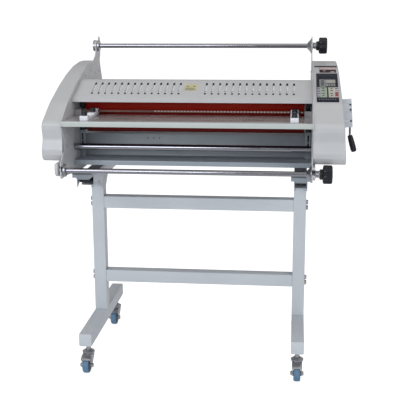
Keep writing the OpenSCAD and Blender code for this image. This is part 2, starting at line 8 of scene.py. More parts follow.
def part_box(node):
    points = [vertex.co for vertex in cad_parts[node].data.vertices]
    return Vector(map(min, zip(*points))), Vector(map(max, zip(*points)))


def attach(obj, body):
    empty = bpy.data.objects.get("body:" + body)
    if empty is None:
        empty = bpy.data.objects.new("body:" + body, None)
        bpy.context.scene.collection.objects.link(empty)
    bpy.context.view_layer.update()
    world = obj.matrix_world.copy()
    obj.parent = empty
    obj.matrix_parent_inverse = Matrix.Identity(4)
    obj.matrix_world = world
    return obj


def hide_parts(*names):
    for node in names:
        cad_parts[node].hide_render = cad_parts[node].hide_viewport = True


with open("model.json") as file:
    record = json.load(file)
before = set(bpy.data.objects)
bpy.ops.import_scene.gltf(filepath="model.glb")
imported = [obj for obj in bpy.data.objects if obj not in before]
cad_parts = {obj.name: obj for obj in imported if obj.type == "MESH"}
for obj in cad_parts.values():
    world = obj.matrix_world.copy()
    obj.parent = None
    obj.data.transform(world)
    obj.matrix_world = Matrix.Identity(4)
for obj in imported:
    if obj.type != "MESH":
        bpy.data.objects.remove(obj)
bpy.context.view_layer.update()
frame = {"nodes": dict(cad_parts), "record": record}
NODES = frame["nodes"]


# ---------------------------------------------------------------- materials

def new_mat(name):
    m = bpy.data.materials.new(name)
    m.use_nodes = True
    nt = m.node_tree
    nt.nodes.clear()
    out = nt.nodes.new("ShaderNodeOutputMaterial")
    b = nt.nodes.new("ShaderNodeBsdfPrincipled")
    nt.links.new(b.outputs["BSDF"], out.inputs["Surface"])
    return m, nt, b


def coords(nt, stretch=(1, 1, 1)):
    tc = nt.nodes.new("ShaderNodeTexCoord")
    mp = nt.nodes.new("ShaderNodeMapping")
    mp.inputs["Scale"].default_value = stretch
    nt.links.new(tc.outputs["Object"], mp.inputs["Vector"])
    return mp.outputs["Vector"]


def noise(nt, vec, scale, detail=4.0, rough=0.55):
    n = nt.nodes.new("ShaderNodeTexNoise")
    n.inputs["Scale"].default_value = scale
    n.inputs["Detail"].default_value = detail
    n.inputs["Roughness"].default_value = rough
    nt.links.new(vec, n.inputs["Vector"])
    return n.outputs["Fac"]


def ramp(nt, fac, stops):
    r = nt.nodes.new("ShaderNodeValToRGB")
    el = r.color_ramp.elements
    while len(el) < len(stops):
        el.new(0.5)
    for e, (p, c) in zip(el, stops):
        e.position = p
        e.color = (*c, 1)
    nt.links.new(fac, r.inputs["Fac"])
    return r.outputs["Color"]


def map_range(nt, fac, a, b, lo=0.0, hi=1.0):
    r = nt.nodes.new("ShaderNodeMapRange")
    r.inputs["From Min"].default_value = lo
    r.inputs["From Max"].default_value = hi
    r.inputs["To Min"].default_value = a
    r.inputs["To Max"].default_value = b
    nt.links.new(fac, r.inputs["Value"])
    return r.outputs["Result"]


def bump(nt, bsdf, height, strength, distance):
    b = nt.nodes.new("ShaderNodeBump")
    b.inputs["Strength"].default_value = strength
    b.inputs["Distance"].default_value = distance
    nt.links.new(height, b.inputs["Height"])
    nt.links.new(b.outputs["Normal"], bsdf.inputs["Normal"])
    return b


def shade(c, k):
    return tuple(max(0.0, min(1.0, v * k)) for v in c)


def paint(name, color, rough=0.42, peel=1300.0, spread=0.05, coat=0.0):
    """Semi-matt sprayed paint: orange peel, faint tone drift and handling marks."""
    m, nt, b = new_mat(name)
    v = coords(nt)
    drift = noise(nt, v, 5.0, 3.0)
    col = ramp(nt, drift, [(0.30, shade(color, 1 - spread)), (0.70, shade(color, 1 + spread * 0.6))])
    nt.links.new(col, b.inputs["Base Color"])
    marks = noise(nt, v, 38.0, 6.0, 0.65)
    nt.links.new(map_range(nt, marks, rough - 0.07, rough + 0.10, 0.3, 0.75), b.inputs["Roughness"])
    bump(nt, b, noise(nt, v, peel, 2.0), 0.25, 0.0004)
    b.inputs["Coat Weight"].default_value = coat
    b.inputs["Coat Roughness"].default_value = 0.25
    return m


def metal(name, color, rough=0.25, stretch=(1, 1, 1), scale=900.0, spread=0.08, deep=0.0002):
    """Bare metal with fine drawn or ground lines along one direction."""
    m, nt, b = new_mat(name)
    b.inputs["Metallic"].default_value = 1.0
    v = coords(nt, stretch)
    lines = noise(nt, v, scale, 5.0, 0.6)
    col = ramp(nt, lines, [(0.30, shade(color, 1 - spread)), (0.70, shade(color, 1 + spread))])
    nt.links.new(col, b.inputs["Base Color"])
    smears = noise(nt, coords(nt), 22.0, 4.0)
    nt.links.new(map_range(nt, smears, rough * 0.7, rough * 1.45, 0.3, 0.7), b.inputs["Roughness"])
    bump(nt, b, lines, 0.2, deep)
    return m


def polished(name, color, metallic, rough):
    """Bright enamelled steel sheet: mirror-like seen low along it, with a faint haze of wear."""
    m, nt, b = new_mat(name)
    b.inputs["Metallic"].default_value = metallic
    v = coords(nt)
    col = ramp(nt, noise(nt, v, 6.0, 3.0), [(0.3, shade(color, 0.96)), (0.7, shade(color, 1.04))])
    nt.links.new(col, b.inputs["Base Color"])
    haze = noise(nt, coords(nt, (1, 4, 4)), 12.0, 5.0, 0.6)
    nt.links.new(map_range(nt, haze, rough * 0.8, rough * 1.35, 0.3, 0.7), b.inputs["Roughness"])
    bump(nt, b, noise(nt, v, 300.0, 3.0), 0.12, 0.0001)
    return m


def glossy_black(name, color):
    """Moulded phenolic: near black, faint mottling, soft sheen on the edges."""
    m, nt, b = new_mat(name)
    v = coords(nt)
    col = ramp(nt, noise(nt, v, 40.0, 4.0), [(0.3, shade(color, 0.8)), (0.7, shade(color, 1.3))])
    nt.links.new(col, b.inputs["Base Color"])
    nt.links.new(map_range(nt, noise(nt, v, 70.0, 5.0), 0.26, 0.42, 0.3, 0.7), b.inputs["Roughness"])
    b.inputs["Specular IOR Level"].default_value = 0.36
    bump(nt, b, noise(nt, v, 1800.0, 2.0), 0.15, 0.0001)
    return m


def print_film(name, color):
    """Printed overlay film with a fine matt texture."""
    m, nt, b = new_mat(name)
    v = coords(nt)
    col = ramp(nt, noise(nt, v, 30.0, 4.0), [(0.3, shade(color, 0.85)), (0.7, shade(color, 1.15))])
    nt.links.new(col, b.inputs["Base Color"])
    nt.links.new(map_range(nt, noise(nt, v, 80.0, 5.0), 0.40, 0.55, 0.3, 0.7), b.inputs["Roughness"])
    b.inputs["Specular IOR Level"].default_value = 0.18
    bump(nt, b, noise(nt, v, 2600.0, 2.0), 0.15, 0.0001)
    return m


def plastic(name, color, rough=0.35, grain=2200.0, spread=0.10, strength=0.2):
    m, nt, b = new_mat(name)
    v = coords(nt)
    col = ramp(nt, noise(nt, v, 14.0, 4.0), [(0.3, shade(color, 1 - spread)), (0.7, shade(color, 1 + spread))])
    nt.links.new(col, b.inputs["Base Color"])
    nt.links.new(map_range(nt, noise(nt, v, 60.0, 5.0), rough - 0.06, rough + 0.10, 0.3, 0.7), b.inputs["Roughness"])
    bump(nt, b, noise(nt, v, grain, 2.0), strength, 0.0002)
    return m


def silicone(name, color):
    """Ground silicone rubber: fine rings left by the grinder, slightly uneven sheen."""
    m, nt, b = new_mat(name)
    v = coords(nt, (1, 0.02, 0.02))
    rings = noise(nt, v, 1400.0, 3.0)
    col = ramp(nt, rings, [(0.3, shade(color, 0.90)), (0.7, shade(color, 1.08))])
    nt.links.new(col, b.inputs["Base Color"])
    nt.links.new(map_range(nt, noise(nt, coords(nt), 18.0, 4.0), 0.38, 0.58, 0.3, 0.7), b.inputs["Roughness"])
    b.inputs["Specular IOR Level"].default_value = 0.2
    bump(nt, b, rings, 0.3, 0.0002)
    return m


MATS = {
    "stand_paint": paint("stand_paint", (0.535, 0.562, 0.595), 0.38),
    "bright_steel": metal("bright_steel", (0.40, 0.40, 0.42), 0.30, (1, 1, 1), 240.0, 0.06, 0.0001),
    "blue_wheel": plastic("blue_wheel", (0.10, 0.20, 0.30), 0.40),
    "housing_paint": paint("housing_paint", (0.500, 0.500, 0.512), 0.36),
    "table_paint": polished("table_paint", (0.52, 0.50, 0.50), 0.52, 0.20),
    "inner_steel": paint("inner_steel", (0.30, 0.335, 0.375), 0.34),
    "black_rubber": plastic("black_rubber", (0.010, 0.010, 0.011), 0.6),
    "white_liner": paint("white_liner", (0.80, 0.81, 0.84), 0.35),
    "scale_metal": plastic("scale_metal", (0.085, 0.022, 0.014), 0.42, 1500.0, 0.14),
    "white_guide": plastic("white_guide", (0.74, 0.73, 0.78), 0.33),
    "black_plastic": glossy_black("black_plastic", (0.006, 0.0065, 0.011)),
    "red_silicone": silicone("red_silicone", (0.34, 0.012, 0.004)),
    "dark_red_silicone": silicone("dark_red_silicone", (0.20, 0.012, 0.009)),
    "turned_steel": metal("turned_steel", (0.50, 0.50, 0.52), 0.3),
    "black_iron": plastic("black_iron", (0.020, 0.022, 0.027), 0.45),
    "quadrant_steel": paint("quadrant_steel", (0.60, 0.63, 0.68), 0.36),
    "chrome_bar": metal("chrome_bar", (0.32, 0.315, 0.35), 0.14, (0.2, 60, 60), 300.0, 0.03, 0.00002),
    "panel_overlay": print_film("panel_overlay", (0.0075, 0.009, 0.020)),
    "green_key_rubber": plastic("green_key_rubber", (0.30, 0.37, 0.28), 0.45),
    "beige_key_rubber": plastic("beige_key_rubber", (0.45, 0.44, 0.37), 0.45),
    "red_key_rubber": plastic("red_key_rubber", (0.26, 0.045, 0.05), 0.45),
}
EXTRA = {
    "spring_steel": metal("spring_steel", (0.55, 0.55, 0.58), 0.22),
    "tyre_blue": plastic("tyre_blue", (0.10, 0.20, 0.32), 0.5),
    "hub_grey": plastic("hub_grey", (0.16, 0.20, 0.25), 0.45),
    "label_cream": plastic("label_cream", (0.56, 0.53, 0.36), 0.4, 900.0, 0.12),
    "label_ink": plastic("label_ink", (0.05, 0.045, 0.04), 0.5, 900.0),
    "label_yellow": plastic("label_yellow", (0.62, 0.46, 0.08), 0.45, 900.0),
    "label_red": print_film("label_red", (0.10, 0.008, 0.014)),
    "panel_white": plastic("panel_white", (0.62, 0.62, 0.62), 0.35, 900.0),
    "panel_grey": plastic("panel_grey", (0.20, 0.21, 0.23), 0.3, 900.0),
    "panel_green": plastic("panel_green", (0.40, 0.47, 0.38), 0.4, 900.0),
    "panel_beige": plastic("panel_beige", (0.50, 0.50, 0.46), 0.4, 900.0),
    "display_glass": plastic("display_glass", (0.022, 0.028, 0.030), 0.12, 900.0),
    "display_face": plastic("display_face", (0.36, 0.36, 0.31), 0.25, 900.0),
    "segment_off": plastic("segment_off", (0.045, 0.052, 0.055), 0.35, 900.0),
    "rail_marks": plastic("rail_marks", (0.42, 0.33, 0.29), 0.4, 900.0),
    "rail_plate": plastic("rail_plate", (0.30, 0.29, 0.31), 0.4, 900.0),
    "dark_line": plastic("dark_line", (0.07, 0.07, 0.075), 0.45, 900.0),
    "table_lip": paint("table_lip", (0.46, 0.49, 0.475), 0.34),
    "underside_painted_shade": paint("underside_painted_shade", (0.014, 0.014, 0.032), 0.45),
    "table_slot_painted_shade": plastic("table_slot_painted_shade", (0.012, 0.010, 0.010), 0.6),
    "badge_dark": print_film("badge_dark", (0.016, 0.002, 0.004)),
    "key_field_pink": plastic("key_field_pink", (0.50, 0.36, 0.36), 0.4, 900.0),
    "panel_dim": plastic("panel_dim", (0.05, 0.052, 0.075), 0.4, 900.0),
    "black_mark": plastic("black_mark", (0.008, 0.008, 0.010), 0.5, 900.0),
    "panel_lilac": plastic("panel_lilac", (0.36, 0.33, 0.42), 0.4, 900.0),
    "badge_pink": plastic("badge_pink", (0.54, 0.42, 0.43), 0.35, 900.0),
    "wheel_dark": plastic("wheel_dark", (0.030, 0.050, 0.070), 0.5),
    # near-black for holes, slots and gaps that look into shade: painted shade
    "painted_shade_black": plastic("painted_shade_black", (0.006, 0.006, 0.007), 0.7),
    "screw_zinc": metal("screw_zinc", (0.50, 0.50, 0.50), 0.3),
}

REC = frame["record"]
slot_of = {s["node"]: s["material_slot"] for s in REC["subparts"]}
body_of = {n: b for b, ns in REC["behaviour"]["bodies"].items() for n in ns}
for n, o in NODES.items():
    o.data.materials.clear()
    o.data.materials.append(MATS[slot_of[n]])
    o.data.polygons.foreach_set("use_smooth", [True] * len(o.data.polygons))
    o.data.set_sharp_from_angle(angle=math.radians(30))

# ---------------------------------------------------------------- helpers

MM = 0.001
_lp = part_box("left_post")
SX, SY = _lp[0].x + 0.351, _lp[0].y + 0.020
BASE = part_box("machine_feet")[1].z


def P(x, y, z):
    """Machine millimetres to the row's metres."""
    return Vector((x * MM + SX, y * MM + SY, z * MM + BASE))


def to_mesh(bm, name, mats, body, replaces=(), sharp=32):
    bmesh.ops.remove_doubles(bm, verts=bm.verts, dist=1e-7)
    bmesh.ops.recalc_face_normals(bm, faces=bm.faces)
    me = bpy.data.meshes.new(name)
    bm.to_mesh(me)
    bm.free()
    for m in mats:
        me.materials.append(m)
    me.polygons.foreach_set("use_smooth", [True] * len(me.polygons))
    me.set_sharp_from_angle(angle=math.radians(sharp))
    ob = bpy.data.objects.new(name, me)
    bpy.context.scene.collection.objects.link(ob)
    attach(ob, body)
    for n in replaces:
        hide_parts(n)
    return ob


def bevel_edges(bm, w, segs=2, angle=30, min_len=0.0, test=None):
    lim = math.radians(angle)
    es = [e for e in bm.edges if len(e.link_faces) == 2 and e.calc_face_angle(0) > lim
          and e.calc_length() > min_len * MM and (test is None or test(e))]
    if es:
        bmesh.ops.bevel(bm, geom=es, offset=w * MM, offset_type="OFFSET", segments=segs, profile=0.5,
                        clamp_overlap=True, affect="EDGES")


def soft(node, w=0.7, segs=2, angle=30, min_len=0.0, sharp=32, name=None, test=None):
    """The node's own shape with its long edges eased, as folded or moulded edges are."""
    bm = bmesh.new()
    bm.from_mesh(NODES[node].data)
    bmesh.ops.remove_doubles(bm, verts=bm.verts, dist=1e-6)
    bmesh.ops.dissolve_limit(bm, angle_limit=math.radians(0.3), verts=bm.verts, edges=bm.edges)
    bevel_edges(bm, w, segs, angle, min_len, test)
    return to_mesh(bm, name or node + "_formed", [MATS[slot_of[node]]], body_of[node], [node], sharp)


def prism(bm, pts, x0, x1, mat=0, xf=None):
    """A Y-Z outline extruded along X. xf is not used."""
    a = [bm.verts.new(P(x0, y, z)) for y, z in pts]
    b = [bm.verts.new(P(x1, y, z)) for y, z in pts]
    n = len(pts)
    fs = [bm.faces.new(a), bm.faces.new(b[::-1])]
    for i in range(n):
        fs.append(bm.faces.new((a[i], b[i], b[(i + 1) % n], a[(i + 1) % n])))
    for f in fs:
        f.material_index = mat
    return fs


def block(bm, lo, hi, mat=0, mtx=None):
    """A box between two corners given in millimetres, moved by mtx, which ends in metres."""
    vs = []
    for i in range(8):
        v = Vector((hi[0] if i & 1 else lo[0], hi[1] if i & 2 else lo[1], hi[2] if i & 4 else lo[2]))
        vs.append(bm.verts.new(mtx @ v if mtx is not None else P(*v)))
    fs = []
    for q in ((0, 2, 3, 1), (4, 5, 7, 6), (0, 1, 5, 4), (2, 6, 7, 3), (0, 4, 6, 2), (1, 3, 7, 5)):
        f = bm.faces.new([vs[k] for k in q])
        f.material_index = mat
        fs.append(f)
    return fs


def lathe(bm, prof, centre, axis, seg=64, mat=0, lobes=None):
    """Turns (distance along the axis, radius) about the axis through centre, in millimetres and then metres.
    centre is a Vector in metres, axis a unit Vector. lobes(angle, distance) scales the radius."""
    axis = axis.normalized()
    ref = Vector((0, 0, 1)) if abs(axis.z) < 0.9 else Vector((1, 0, 0))
    e1 = (ref - axis * ref.dot(axis)).normalized()
    e2 = axis.cross(e1)
    rings, out = [], []
    for d, r in prof:
        if r < 1e-6:
            rings.append([bm.verts.new(centre + axis * d * MM)])
            continue
        ring = []
        for k in range(seg):
            a = 2 * math.pi * k / seg
            rr = r * (lobes(a, d) if lobes else 1.0)
            ring.append(bm.verts.new(centre + axis * d * MM + (e1 * math.cos(a) + e2 * math.sin(a)) * rr * MM))
        rings.append(ring)
    for p, q in zip(rings, rings[1:]):
        for k in range(seg):
            k2 = (k + 1) % seg
            if len(p) == 1 and len(q) == 1:
                continue
            if len(p) == 1:
                f = bm.faces.new((p[0], q[k], q[k2]))
            elif len(q) == 1:
                f = bm.faces.new((p[k], q[0], p[k2]))
            else:
                f = bm.faces.new((p[k], q[k], q[k2], p[k2]))
            f.material_index = mat
            out.append(f)
    for ring in (rings[0], rings[-1]):
        if len(ring) > 1:
            f = bm.faces.new(ring)
            f.material_index = mat
            out.append(f)
    return out


def tube(bm, path, r, seg=10, mat=0):
    """A round wire of radius r millimetres along path, a list of Vectors in metres."""
    rings = []
    t0 = (path[1] - path[0]).normalized()
    n = t0.orthogonal().normalized()
    for i, p in enumerate(path):
        t = (path[min(i + 1, len(path) - 1)] - path[max(i - 1, 0)]).normalized()
        n = (n - t * n.dot(t)).normalized()
        b = t.cross(n)
        rings.append([bm.verts.new(p + (n * math.cos(a) + b * math.sin(a)) * r * MM)
                      for a in (2 * math.pi * k / seg for k in range(seg))])
    for p, q in zip(rings, rings[1:]):
        for k in range(seg):
            bm.faces.new((p[k], q[k], q[(k + 1) % seg], p[(k + 1) % seg])).material_index = mat
    bm.faces.new(rings[0]).material_index = mat
    bm.faces.new(rings[-1][::-1]).material_index = mat


def rounded(pts, radii, segs=6):
    """A closed outline with each corner eased by its own radius."""
    out, n = [], len(pts)
    for i in range(n):
        p, a, b = Vector(pts[i]), Vector(pts[i - 1]), Vector(pts[(i + 1) % n])
        r = radii[i] if isinstance(radii, (list, tuple)) else radii
        u, v = (a - p), (b - p)
        lu, lv = u.length, v.length
        u.normalize()
        v.normalize()
        half = math.acos(max(-1, min(1, u.dot(v)))) / 2
        if r <= 0 or half > math.radians(88.5):
            out.append(tuple(p))
            continue
        t = min(r / math.tan(half), 0.47 * lu, 0.47 * lv)
        r = t * math.tan(half)
        c = p + (u + v).normalized() * (r / math.sin(half))
        s, e = p + u * t - c, p + v * t - c
        a0, a1 = math.atan2(s.y, s.x), math.atan2(e.y, e.x)
        d = (a1 - a0 + math.pi) % (2 * math.pi) - math.pi
        for k in range(segs + 1):
            a2 = a0 + d * k / segs
            out.append((c.x + r * math.cos(a2), c.y + r * math.sin(a2)))
    return out


def moved_in(pts, d):
    """A clockwise or anticlockwise closed outline moved inwards by d."""
    n = len(pts)
    area = sum(pts[i][0] * pts[(i + 1) % n][1] - pts[(i + 1) % n][0] * pts[i][1] for i in range(n))
    s = 1 if area > 0 else -1
    out = []
    for i in range(n):
        p, a, b = Vector(pts[i]), Vector(pts[i - 1]), Vector(pts[(i + 1) % n])
        t1, t2 = (p - a).normalized(), (b - p).normalized()
        n1, n2 = Vector((-t1.y, t1.x)) * s, Vector((-t2.y, t2.x)) * s
        k = (n1 + n2) / max(0.35, 1 + n1.dot(n2))
        q = p + k * d
        out.append((q.x, q.y))
    return out


X = Vector((1, 0, 0))
Y = Vector((0, 1, 0))
Z = Vector((0, 0, 1))

# ---------------------------------------------------------------- stand

for n in ("left_post", "right_post", "left_foot_beam", "right_foot_beam", "crossbars"):
    soft(n, 2.2, 3, 60, 30.0)
soft("support_arms", 1.2, 2, 40, 12.0)
soft("foot_end_caps", 1.2, 3, 40, 1.0)
soft("crossbar_bolts", 0.4, 2, 25, 0.5)
soft("caster_stems", 0.4, 2, 25, 0.5)
soft("base_rails", 1.0, 2, 30, 3.0)
soft("machine_feet", 0.8, 2, 30, 0.0)

for side, sx in (("left", -1), ("right", 1)):
    for end, sy in (("front", -1), ("rear", 1)):
        soft("%s_%s_fork" % (end, side), 0.6, 2, 30, 0.6)
        n = "%s_%s_wheel" % (end, side)
        b0, b1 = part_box(n)
        c = Vector(((b0.x + b1.x) / 2, (b0.y + b1.y) / 2, (b0.z + b1.z) / 2))
        R = (b1.z - b0.z) / 2 / MM
        bm = bmesh.new()
        tread = [(-9.0, R - 9.5), (-10.1, R - 8), (-10.5, R - 5.6), (-10.3, R - 3.6), (-9.2, R - 1.7), (-7.3, R - 0.5),
                 (-4.6, R), (-4.2, R - 0.35), (-3.8, R), (-1.0, R), (1.0, R), (3.8, R), (4.2, R - 0.35), (4.6, R),
                 (7.3, R - 0.5), (9.2, R - 1.7), (10.3, R - 3.6), (10.5, R - 5.6), (10.1, R - 8), (9.0, R - 9.5)]
        for f in lathe(bm, tread, c, X, 72, 0):
            if abs((f.calc_center_median() - c).x) < 8.4 * MM:
                f.material_index = 2
        hub = [(-12.5, 4.1), (-12.5, 8.2), (-12.1, 8.8), (-9.0, 9.1), (-8.0, 9.8), (-7.4, R - 11.6), (-8.2, R - 10.6),
               (-9.1, R - 10.0), (-9.1, R - 9.3), (9.1, R - 9.3), (9.1, R - 10.0), (8.2, R - 10.6), (7.4, R - 11.6),
               (8.0, 9.8), (9.0, 9.1), (12.1, 8.8), (12.5, 8.2), (12.5, 4.1)]
        lathe(bm, hub, c, X, 60, 1)
        for k in range(6):
            a = math.pi * k / 3
            d = Vector((0, math.cos(a), math.sin(a)))
            t = Vector((0, -math.sin(a), math.cos(a)))
            for s in (-1, 1):
                vs = []
                for (u, v, w) in ((8.6, -1.1, 6.5), (R - 11, -1.1, 6.5), (R - 11, 1.1, 6.5), (8.6, 1.1, 6.5),
                                  (8.6, -0.8, 8.9), (R - 11, -0.8, 8.6), (R - 11, 0.8, 8.6), (8.6, 0.8, 8.9)):
                    vs.append(bm.verts.new(c + d * u * MM + t * v * MM + X * s * w * MM))
                for q in ((0, 1, 5, 4), (1, 2, 6, 5), (2, 3, 7, 6), (3, 0, 4, 7), (4, 5, 6, 7), (3, 2, 1, 0)):
                    bm.faces.new([vs[j] for j in q]).material_index = 1
        to_mesh(bm, n + "_moulded", [EXTRA["wheel_dark"], EXTRA["hub_grey"], EXTRA["tyre_blue"]], body_of[n], [n], 35)

# ---------------------------------------------------------------- side covers

FLARE = 0.0654
R_OUT = [(-304, 73, 22), (-317, 92, 16), (-321, 108, 14), (-313, 141, 16), (-327, 170, 14), (-329, 184, 9),
         (-322, 193, 10), (-245, 240.5, 60), (-50, 313.5, 40), (24, 329, 60), (104, 336.7, 40), (151, 336.7, 30),
         (188, 330.7, 30), (222, 284, 30), (244, 252, 20), (258, 210, 20), (258, 73, 14)]
L_OUT = [(-304, 73, 22), (-317, 92, 16), (-321, 108, 14), (-313, 141, 16), (-327, 170, 14), (-329, 184, 9),
         (-322, 193, 10), (-246, 240, 90), (-197, 260, 90), (-141, 283, 90), (-60, 309, 90), (24, 328.5, 60),
         (104, 336.7, 40), (151, 336.7, 30), (188, 330.7, 30), (222, 284, 30), (244, 252, 20), (258, 210, 20), (258, 73, 14)]


def cover(node, s, outline, top_w, R=4.5):
    base = rounded([(y, z) for y, z, r in outline], [r for y, z, r in outline], 6)
    bm = bmesh.new()
    steps = [0, 22.5, 45, 67.5, 90]
    rings = [[bm.verts.new(P(s * 363.2, y, z)) for y, z in base]]
    bm.faces.new(rings[0])
    for a in steps:
        ang = math.radians(a)
        ins = moved_in(base, R * (1 - math.cos(ang)))
        rings.append([bm.verts.new(P(s * (top_w + (336 - z) * FLARE - R * (1 - math.sin(ang))), y, z)) for y, z in ins])
    n = len(base)
    for p, q in zip(rings, rings[1:]):
        for k in range(n):
            bm.faces.new((p[k], q[k], q[(k + 1) % n], p[(k + 1) % n]))
    bm.faces.new(rings[-1])
    ob = to_mesh(bm, node + "_moulded", [MATS["housing_paint"]], "frame", [node], 28)
    return ob


left_w = -(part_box("left_cover")[0].x - SX) / MM - (336 - 73) * FLARE
right_w = (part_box("right_cover")[1].x - SX) / MM - (336 - 73) * FLARE
cover("left_cover", -1, L_OUT, left_w)
cover("right_cover", 1, R_OUT, right_w)

for n in ("left_side_plate", "right_side_plate"):
    soft(n, 0.5, 2, 35, 4.0)
soft("front_pan", 0.7, 2, 30, 3.0)
soft("rear_panel", 0.7, 2, 30, 3.0)
soft("rear_deck", 0.9, 2, 20, 3.0)
table = soft("feed_table", 1.1, 3, 20, 6.0)
for m in (EXTRA["table_lip"], EXTRA["underside_painted_shade"], EXTRA["table_slot_painted_shade"]):
    table.data.materials.append(m)
for f in table.data.polygons:
    c = f.center
    y, z = (c.y - SY) / MM, (c.z - BASE) / MM
    # faces turned downwards take a near-black: painted shade under the table
    if f.normal.z < -0.4:
        f.material_index = 2
    # walls of the table's slots take black: painted shade inside the slots
    elif -270 < y < -245 and abs(f.normal.z) < 0.6:
        f.material_index = 3
    elif y < -329.9 or z < 190 and y < -300:
        f.material_index = 1
soft("gear_motor", 0.8, 2, 30, 3.0)
soft("mains_inlet", 0.8, 2, 30, 3.0)
soft("roller_arms", 1.2, 2, 30, 3.0)
soft("lower_bearing_blocks", 1.2, 2, 30, 3.0)
soft("quadrant", 0.5, 2, 35, 2.0)
soft("cover_liner", 0.3, 1, 30, 3.0)
SLOPE = (Matrix.Translation(P(0, -200, 245.5)) @ Matrix.Rotation(math.atan(45.5 / 115), 4, "X") @ Matrix.Scale(MM, 4))
# slotted cover: eased folds, countersunk slots whose walls are coloured black at the ends, painted shade, and white
# along the sides, painted light
INV = SLOPE.inverted()
SN = (SLOPE.to_3x3() @ Z).normalized()
bm = bmesh.new()
bm.from_mesh(NODES["top_cover"].data)
bmesh.ops.remove_doubles(bm, verts=bm.verts, dist=1e-6)
bmesh.ops.dissolve_limit(bm, angle_limit=math.radians(0.3), verts=bm.verts, edges=bm.edges)


def in_slots(e):
    return all(abs(c.x) < 325 and 29.3 < c.y < 111.7 and -3 < c.z < 0.1 for c in (INV @ v.co for v in e.verts))


bevel_edges(bm, 0.6, 2, 12, 12.0, lambda e: not in_slots(e))
rim = [e for e in bm.edges if in_slots(e) and all((INV @ v.co).z > -0.1 for v in e.verts)]
bmesh.ops.bevel(bm, geom=rim, offset=0.9 * MM, offset_type="OFFSET", segments=2, profile=0.5, clamp_overlap=True, affect="EDGES")
# slot walls: black at the ends is painted shade, white liner colour along the sides is painted light
for f in bm.faces:
    c = INV @ f.calc_center_median()
    if abs(c.x) < 325 and 28.5 < c.y < 112.5 and -1.8 < c.z < 0.02 and abs(f.normal.dot(SN)) < 0.985:
        f.material_index = 2 if 44 < c.y < 96 else 1
to_mesh(bm, "top_cover_formed", [MATS["housing_paint"], EXTRA["painted_shade_black"], MATS["white_liner"]], body_of["top_cover"],
        ["top_cover"], 25)
# black strips under the ends of the cover's slots: painted shade seen through the slots
bm = bmesh.new()
for s in (-1, 1):
    block(bm, (s * 348, 28, -5.6), (s * 26, 52.6, -4.4), 0, SLOPE)
    block(bm, (s * 348, 99.8, -3.4), (s * 26, 115.0, -2.6), 0, SLOPE)
bevel_edges(bm, 0.2, 1)
to_mesh(bm, "slot_shade", [EXTRA["painted_shade_black"]], "lifting_cover", [], 30)

# ---------------------------------------------------------------- rollers and bars

for node, y, z in (("upper_roller", -88, 228), ("lower_roller", -88, 164)):
    bm = bmesh.new()
    lathe(bm, [(-338.5, 24.2), (-338.5, 30.2), (-337.9, 31.2), (-336.7, 31.8), (336.7, 31.8), (337.9, 31.2), (338.5, 30.2), (338.5, 24.2)],
          P(0, y, z), X, 128, 0)
    to_mesh(bm, node + "_ground", [MATS[slot_of[node]]], body_of[node], [node], 35)

bm = bmesh.new()
lathe(bm, [(-362.5, 0), (-362.5, 3.6), (-362.1, 4), (-359.6, 4), (-359.6, 8.6), (-358.7, 9.5), (358.7, 9.5), (359.6, 8.6),
           (359.6, 4), (362.1, 4), (362.5, 3.6), (362.5, 0)], P(0, -190, 99), X, 96, 0)
to_mesh(bm, "idler_bar_polished", [MATS["chrome_bar"]], "idler", ["idler_bar"], 35)


def coil(bm, x0, x1, turns, r, wire, c, mat=0):
    pts, n = [], int(turns * 28)
    for i in range(n + 1):
        t = i / n
        a = 2 * math.pi * turns * t
        pts.append(P(x0 + (x1 - x0) * t, c[0] + r * math.cos(a), c[1] + r * math.sin(a)))
    tube(bm, pts, wire, 8, mat)


def supply(node, c, left, ox, knob_x):
    p = P(0, c[0], c[1])
    bm = bmesh.new()
    lathe(bm, [(left + 0.2, 0), (left + 0.2, 7.5), (395, 7.5), (396, 6.7), (396, 0)], p, X, 48, 0)
    # collars on both sides of the left bracket
    for a, b in ((left, -363.4), (-359.6, -353)):
        lathe(bm, [(a, 7.4), (a, 17.6), (a + 0.9, 18.5), (b - 0.9, 18.5), (b, 17.6), (b, 7.4)], p, X, 56, 1)
    lathe(bm, [(left - 0.0, 7.3), (left - 0.0, 6.0), (left + 0.3, 5.4), (left + 0.3, 0)], p, X, 32, 1)
    # cone that centres the film core
    lathe(bm, [(345.6, 7.5), (345.6, 8.6), (346.3, 9.6), (356.6, 20.6), (357.0, 23.2), (357.7, 24.6), (358.7, 25),
               (359.6, 24.6), (359.6, 7.5)], p, X, 56, 1)
    # washers and spring outside the right bracket
    lathe(bm, [(ox + 0.6, 7.5), (ox + 0.6, 11.4), (ox + 1.0, 11.9), (ox + 1.9, 11.9), (ox + 2.3, 11.4), (ox + 2.3, 7.5)], p, X, 40, 1)
    lathe(bm, [(knob_x - 2.4, 7.5), (knob_x - 2.4, 11.9), (knob_x - 0.5, 11.9), (knob_x - 0.5, 7.5)], p, X, 40, 1)
    coil(bm, ox + 3.2, knob_x - 3.2, 2.2, 10.0, 1.1, c, 2)
    to_mesh(bm, node + "_fitted", [MATS["chrome_bar"], MATS["bright_steel"], EXTRA["spring_steel"]], body_of[node],
            [node], 35)


supply("upper_supply_shaft", (175, 384.5), -373.6, 363, 375)
supply("lower_supply_shaft", (-322, 49), -369.4, 370, 383)


